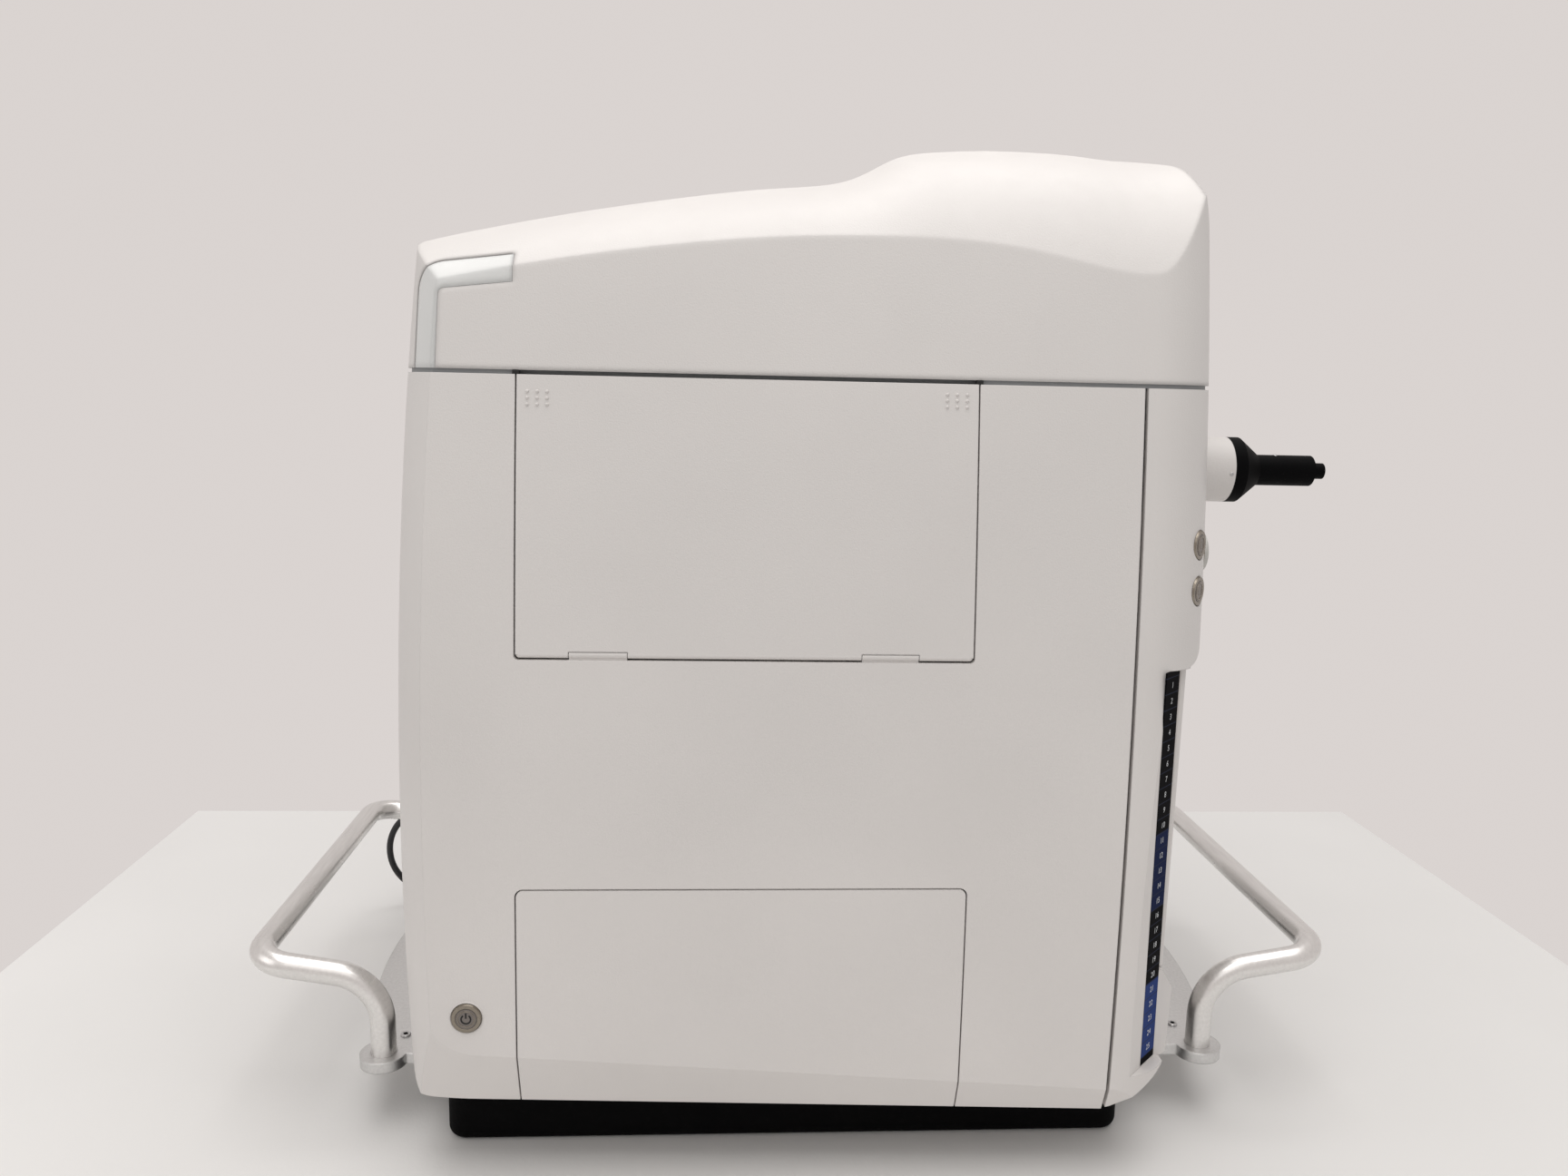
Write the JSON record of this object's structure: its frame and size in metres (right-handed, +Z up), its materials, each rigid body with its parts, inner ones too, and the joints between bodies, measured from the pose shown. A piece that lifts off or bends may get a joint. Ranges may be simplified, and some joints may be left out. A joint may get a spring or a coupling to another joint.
{
  "type": "digital slide scanner",
  "caption": "Bench-top digital slide scanner: off-white shell on a black base, side carrying handles, side door with a slide magazine, front flap over a microscope.",
  "frame": {"origin": "on the table under the middle of the housing, on the underside of the base", "axes": "+Z up; -Y towards the wide service side with the front flap; +X towards the side door and light guide adapter"},
  "size_m": [0.9, 0.6469, 0.7947],
  "materials": {
    "housing_paint": "fine-textured warm off-white paint",
    "door_paint": "fine-textured warm off-white paint",
    "light_bar": "milky diffuser",
    "base_black": "black powder coat",
    "rubber_foot": "matt",
    "frame_grey": "grey powder coat",
    "scale_black": "printed strip",
    "steel": "ground",
    "satin_aluminium": "satin anodised",
    "bracket_aluminium": "bead-blasted",
    "adapter_black": "black anodised, satin",
    "inner_black": "black anodised",
    "bezel_metal": "turned",
    "button_grey": "satin",
    "button_pale": "satin",
    "rack_aluminium": "milled",
    "tray_black": "fine grain",
    "slide_glass": "clear",
    "stand_white": "enamel",
    "lens_chrome": "satin",
    "board_green": "solder mask",
    "fan_black": "moulded",
    "cord_black": "matt"
  },
  "bodies": {
    "housing": {"adapter_barrel": "adapter_black", "adapter_collar": "adapter_black", "adapter_tube": "housing_paint", "base_tray": "base_black", "bracket_left": "bracket_aluminium", "bracket_pads": "base_black", "bracket_right": "bracket_aluminium", "button_bezels": "bezel_metal", "camera": "inner_black", "chassis": "frame_grey", "condenser": "inner_black", "control_board": "board_green", "cord_coil": "cord_black", "cord_connector": "cord_black", "door_pins": "steel", "fan_frame": "fan_black", "foot_pads": "rubber_foot", "front_cover": "housing_paint", "handle_left": "satin_aluminium", "handle_right": "satin_aluminium", "lamp_tube": "inner_black", "lift_frame": "rack_aluminium", "lift_rods": "steel", "magazine_rack": "rack_aluminium", "mains_cord": "cord_black", "mains_inlet": "cord_black", "mains_plug": "cord_black", "microscope_stand": "stand_white", "number_scale": "scale_black", "port_panel": "rack_aluminium", "power_supply": "frame_grey", "rear_cover": "housing_paint", "side_column": "housing_paint", "slide_trays": "tray_black", "stage_rails": "steel", "status_light": "light_bar", "top_cover": "housing_paint"},
    "flap": {"front_flap": "housing_paint"},
    "panel": {"service_panel": "housing_paint"},
    "door": {"loading_door": "door_paint"},
    "power_button": {"power_button": "button_grey"},
    "control_button_upper": {"control_button_upper": "button_grey"},
    "control_button_lower": {"control_button_lower": "button_grey"},
    "side_button": {"side_button": "button_pale"},
    "lift": {"tray_lift": "rack_aluminium"},
    "gripper": {"tray_gripper": "steel"},
    "screw": {"lift_screw": "steel"},
    "stage_frame": {"stage_y": "inner_black"},
    "stage": {"stage_x": "inner_black", "stage_tray": "tray_black", "glass_slides": "slide_glass"},
    "focus": {"focus_block": "inner_black"},
    "turret": {"objective_turret": "inner_black", "objectives": "lens_chrome"},
    "fan": {"fan_rotor": "fan_black"}
  },
  "joints": [
    {"name": "flap_hinge", "type": "hinge", "parent": "housing", "child": "flap", "pos_m": [0, -0.25476, 0.40585], "axis": [1, 0, 0], "range_deg": [0, 90]},
    {"name": "panel_pull", "type": "slide", "parent": "housing", "child": "panel", "axis": [0, -1, 0], "range_m": [0, 0.06]},
    {"name": "door_hinge", "type": "hinge", "parent": "housing", "child": "door", "pos_m": [0.284, 0.188, 0.277], "axis": [0, 0, 1], "range_deg": [0, 90]},
    {"name": "power_press", "type": "slide", "parent": "housing", "child": "power_button", "axis": [0, 1, 0], "range_m": [0, 0.0015], "stiffness_N_per_m": 1200, "springref_m": -0.001},
    {"name": "control_upper_press", "type": "slide", "parent": "housing", "child": "control_button_upper", "axis": [-0.7547, 0.6561, 0], "range_m": [0, 0.0015], "stiffness_N_per_m": 1200, "springref_m": -0.001},
    {"name": "control_lower_press", "type": "slide", "parent": "housing", "child": "control_button_lower", "axis": [-0.7547, 0.6561, 0], "range_m": [0, 0.0015], "stiffness_N_per_m": 1200, "springref_m": -0.001},
    {"name": "side_press", "type": "slide", "parent": "housing", "child": "side_button", "axis": [-1, 0, 0], "range_m": [0, 0.0025], "stiffness_N_per_m": 1000, "springref_m": -0.001},
    {"name": "lift_slide", "type": "slide", "parent": "housing", "child": "lift", "axis": [0, 0, 1], "range_m": [0, 0.288]},
    {"name": "screw_spin", "type": "hinge", "parent": "housing", "child": "screw", "pos_m": [0.061, -0.072, 0.25], "axis": [0, 0, 1], "range_deg": [0, 10368]},
    {"name": "gripper_slide", "type": "slide", "parent": "lift", "child": "gripper", "axis": [-1, 0, 0], "range_m": [0, 0.06]},
    {"name": "stage_y_slide", "type": "slide", "parent": "housing", "child": "stage_frame", "axis": [0, 1, 0], "range_m": [-0.03, 0.03]},
    {"name": "stage_x_slide", "type": "slide", "parent": "stage_frame", "child": "stage", "axis": [1, 0, 0], "range_m": [-0.04, 0.04]},
    {"name": "focus_slide", "type": "slide", "parent": "housing", "child": "focus", "axis": [0, 0, 1], "range_m": [-0.006, 0.012]},
    {"name": "turret_turn", "type": "hinge", "parent": "focus", "child": "turret", "pos_m": [-0.11, -0.06, 0.544], "axis": [0, 0.2588, -0.9659], "continuous": true},
    {"name": "fan_spin", "type": "hinge", "parent": "housing", "child": "fan", "pos_m": [-0.165, 0.21, 0.19], "axis": [0, 1, 0], "continuous": true}
  ],
  "couplings": [
    {"joint": "screw_spin", "follows": "lift_slide", "rad_per_m": 628.32}
  ]
}
